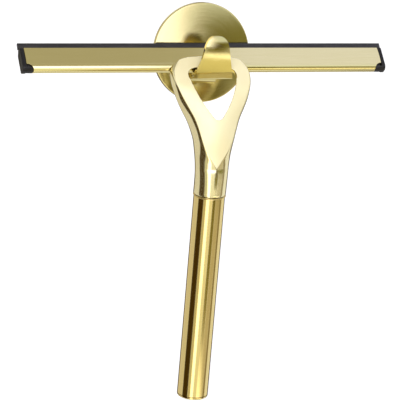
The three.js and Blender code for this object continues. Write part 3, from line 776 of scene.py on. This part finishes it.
def clamp_plate():
    """The long plate that holds the rubber from behind."""
    chamfer = 0.9
    outline = [(CLAMP_FRONT, CLAMP_BOTTOM), (CLAMP_BACK, CLAMP_BOTTOM), (CLAMP_BACK, CLAMP_TOP - chamfer),
               (CLAMP_BACK - chamfer, CLAMP_TOP), (CLAMP_FRONT, CLAMP_TOP)]
    plate = across("clamp_plate_piece", outline, -COVER_HALF, COVER_HALF)
    eased(plate, 0.3, 3)
    return finished(plate, HEAD, FACE_GOLD, "squeegee", "clamp_plate", slot="satin_gold")


def end_cap(side, name):
    """A plate over the head's end, with a round foot that fills the cover's lower corner."""
    face = ROLL_Y - ROLL_RADIUS
    outline = [(RUBBER_FRONT, CAP_TOP)]
    outline += curve(outline[-1], (face, CAP_TOP), (face, FACE_TOP - 1.4), 8)
    outline += arc(ROLL_Y, ROLL_Z, ROLL_RADIUS, math.pi, 1.5 * math.pi, 16)
    outline += [(CLAMP_BACK - 1, CLAMP_BOTTOM - 1), (CLAMP_BACK, CLAMP_BOTTOM)]
    outline += [(CLAMP_BACK, CLAMP_TOP - 0.6), (RUBBER_BACK, CAP_TOP)]
    ends = sorted((side * (COVER_HALF + GAP), side * CAP_HALF))
    cap = eased(across(name + "_piece", outline, *ends), 0.25, 3, 40)
    reach = sorted((side * (COVER_HALF - FOOT_RADIUS), side * (COVER_HALF + 1)))
    foot = across("foot", outline, *reach)
    room = across("room", [(0, 0), (CLAMP_FRONT - GAP, 0), (CLAMP_FRONT - GAP, RUBBER_BOTTOM - GAP),
                           (0, RUBBER_BOTTOM - GAP)], -CAP_HALF, CAP_HALF)
    bite = rod("bite", FOOT_RADIUS - GAP, side * COVER_HALF, FOOT_Z, 0, 20)
    combined(foot, "INTERSECT", bite, room)
    combined(cap, "UNION", eased(foot, 0.25, 2, 40))
    return finished(cap, HEAD, BLACK_PLASTIC, "squeegee", name, slot="black_plastic")


def back_screw(name, x, z, radius, height):
    """A socket screw's domed head and shank, driven in from the back."""
    seat = CLAMP_BACK + 0.1
    edge = 0.35
    shank, depth, socket_depth = radius * 0.55, 4.5, 0.9
    profile = [(0, -depth), (shank, -depth), (shank, 0), (radius, 0)]
    profile += arc(radius - edge, height - edge, edge, 0, math.pi / 2, 5) + [(0, height)]
    screw = turned(name + "_piece", profile, 48)
    hexagon = arc(0, 0, radius / 2, 0, math.radians(300), 5)
    socket = upright("socket", hexagon, height - socket_depth, height + 1)
    combined(screw, "DIFFERENCE", socket)
    screw.data.transform(Matrix.Translation((x, seat, z)) @ Matrix.Rotation(-math.pi / 2, 4, "X"))
    return finished(screw, HEAD, PLAIN_STEEL, "squeegee", name, slot="plain_steel")


# ---- Assembly ---------------------------------------------------------------------------------

TARGET, DISTANCE, LENS = Vector((3.4, 0, -98.8)) * MM, 1.603, 217.0
AZIMUTH, ELEVATION, ROLL = math.radians(-19.2), math.radians(8.9), math.radians(1.8)


def camera():
    """The camera stands to the left of the blade's middle and a little above, with a slight roll."""
    back = Vector((math.sin(AZIMUTH) * math.cos(ELEVATION), -math.cos(AZIMUTH) * math.cos(ELEVATION),
                   math.sin(ELEVATION)))
    right = Vector((0, 0, 1)).cross(back).normalized()
    up = back.cross(right)
    right, up = (right * math.cos(ROLL) + up * math.sin(ROLL), up * math.cos(ROLL) - right * math.sin(ROLL))
    data = bpy.data.cameras.new("camera")
    data.lens, data.sensor_width = LENS, 36
    made = bpy.data.objects.new("camera", data)
    turn = Matrix((right, up, back)).transposed().to_4x4()
    made.matrix_world = Matrix.Translation(TARGET + back * DISTANCE) @ turn
    bpy.context.scene.collection.objects.link(made)
    bpy.context.scene.camera = made


def carried_nodes():
    """The inner CAD pieces keep their shape and get a real material."""
    for name in ("backing_plate", "plate_screw_left", "plate_screw_right", "neck_stud", "tube_insert",
                 "blade_stiffener"):
        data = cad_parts[name].data
        data.materials.clear()
        data.materials.append(PLAIN_STEEL)


camera()
carried_nodes()
wall_hook()
adhesive_pad()
yoke()
handle_tube()
end_plug()
neck_ring()
blade_cover()
rubber_blade()
clamp_plate()
for side, name in ((-1, "end_cap_left"), (1, "end_cap_right")):
    end_cap(side, name)
for side, name in ((-1, "head_screw_left"), (1, "head_screw_right")):
    back_screw(name, side * HEAD_SCREW_X, HEAD_SCREW_Z, *HEAD_SCREW)
for index, x in enumerate(CLAMP_SCREW_X):
    back_screw(f"clamp_screw_{index + 1}", x, CLAMP_SCREW_Z, *CLAMP_SCREW)

# ---- Studio -----------------------------------------------------------------------------------

# Soft boxes and flags round the object, painted on the sky in degrees: azimuth from and to (0 is in
# front, 90 to the right), elevation from and to, softness of the upright and level edges, colour.
CARDS = [
    ("left_wall", -170, -106, -90, 90, 8, 8, (0.72, 0.69, 0.62)),
    ("left_flag", -103, -59, -90, 10, 6, 20, (0.06, 0.036, 0.006)),
    ("left_glow", -57, -40, -90, 60, 5, 12, (0.62, 0.58, 0.38)),
    ("key_box", -38, -17, -90, 60, 4, 12, (2.3, 2.2, 2.0)),
    ("centre_box", -13, 7, -90, 60, 3, 12, (0.95, 0.92, 0.74)),
    ("table", 8, 60, -52, -28, 6, 4, (0.95, 0.84, 0.42)),
    ("table_edge", 10, 60, -34, -28, 6, 3, (1.9, 1.8, 1.5)),
    ("table_front", 8, 60, -90, -50, 6, 14, (0.38, 0.30, 0.12)),
    ("olive_flag", 9, 31, -27, -13, 5, 5, (0.24, 0.21, 0.06)),
    ("tan_wall", 33, 64, -28, -13, 5, 5, (0.58, 0.52, 0.38)),
    ("upper_olive", 10, 70, -14, 6, 6, 6, (0.24, 0.22, 0.07)),
    ("brown_flag", 16, 25, -17, -3, 4, 3, (0.08, 0.055, 0.012)),
    ("upper_key", -40, 14, -13, 58, 12, 4, (2.1, 2.1, 2.5)),
    ("high_box", 19, 75, 6, 36, 6, 6, (0.85, 0.92, 1.0)),
    ("right_flag", 66, 84, -60, 5, 5, 10, (0.30, 0.26, 0.16)),
    ("back_flag", 124, 184, -50, 15, 6, 8, (0.10, 0.07, 0.02)),
    ("back_flag_left", -184, -163, -50, 15, 6, 8, (0.10, 0.07, 0.02)),
]
# The ceiling is tan to the left of a line across the room and pale to the right of it.
CEILING_FROM, CEILING_SOFT, CEILING_SPLIT = 33, 5, (0.335, 0.365)
CEILING_TAN, CEILING_PALE = (0.457, 0.44, 0.367), (0.84, 0.87, 1.12)
SKY = (0.9, 0.9, 0.88)


def window(nodes, angle, start, end, soft):
    """1 between two angles in degrees, fading to 0 over the softness."""
    middle, half = (start + end) / 2, (end - start) / 2
    off = nodes.maths("ABSOLUTE", nodes.maths("SUBTRACT", angle, math.radians(middle)))
    return nodes.spread(off, 1, 0, math.radians(half - soft / 2), math.radians(half + soft / 2))


def sky():
    """A pale sky with soft boxes and dark flags, which the gold reflects."""
    world = bpy.data.worlds.new("studio")
    bpy.context.scene.world = world
    nodes = Nodes(world)
    split = nodes.add("ShaderNodeSeparateXYZ")
    nodes.link(nodes.coordinates.outputs["Generated"], split.inputs[0])
    x, y, z = split.outputs
    azimuth = nodes.maths("ARCTAN2", x, nodes.maths("MULTIPLY", y, -1))
    elevation = nodes.maths("ARCSINE", z)
    colour = SKY
    for _, left, right, low, high, soft, soft_level, shade in CARDS:
        share = nodes.maths("MULTIPLY", window(nodes, azimuth, left, right, soft),
                            window(nodes, elevation, low, high, soft_level))
        colour = nodes.mix(share, colour, shade)
    ceiling = nodes.mix(nodes.spread(x, 0, 1, *CEILING_SPLIT), CEILING_TAN, CEILING_PALE)
    start, end = math.radians(CEILING_FROM), math.radians(CEILING_FROM + CEILING_SOFT)
    above = nodes.spread(elevation, 0, 1, start, end)
    nodes.link(nodes.mix(above, colour, ceiling), nodes.tree.nodes["Background"].inputs["Color"])


def floor():
    """A plain pale floor well below the object."""
    size, drop = 30, 0.08
    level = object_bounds()[0].z - drop
    corners = [(x * size, y * size, level) for x, y in ((-1, -1), (1, -1), (1, 1), (-1, 1))]
    made = new_object("floor", corners, [(0, 1, 2, 3)])
    nodes = material_nodes("floor_paper")
    fibres = nodes.noise(nodes.stretched((3, 3, 3)), detail=2)
    tone = nodes.mix(nodes.spread(fibres, 0, 1), (0.93, 0.93, 0.93), (0.90, 0.90, 0.90))
    rough, normal = nodes.spread(fibres, 0.8, 0.9), nodes.bump(fibres, 0.05, 0.001)
    made.data.materials.append(nodes.surface(tone, rough, normal, 0.0, 0.0))
    shader = nodes.tree.nodes["Principled BSDF"]
    shader.inputs["Emission Color"].default_value = (1, 1, 1, 1)
    shader.inputs["Emission Strength"].default_value = 0.25
    made.visible_glossy = False
    made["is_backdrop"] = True


def soft_light():
    """One broad soft light from the front, a little above and to the left."""
    data = bpy.data.lights.new("soft_light", "SUN")
    data.energy, data.angle = 1.6, math.radians(50)
    made = bpy.data.objects.new("soft_light", data)
    made.rotation_euler = (math.radians(60), 0, math.radians(-20))
    made.visible_glossy = False
    bpy.context.scene.collection.objects.link(made)


bpy.context.scene.view_settings.view_transform = "Standard"
sky()
floor()
soft_light()
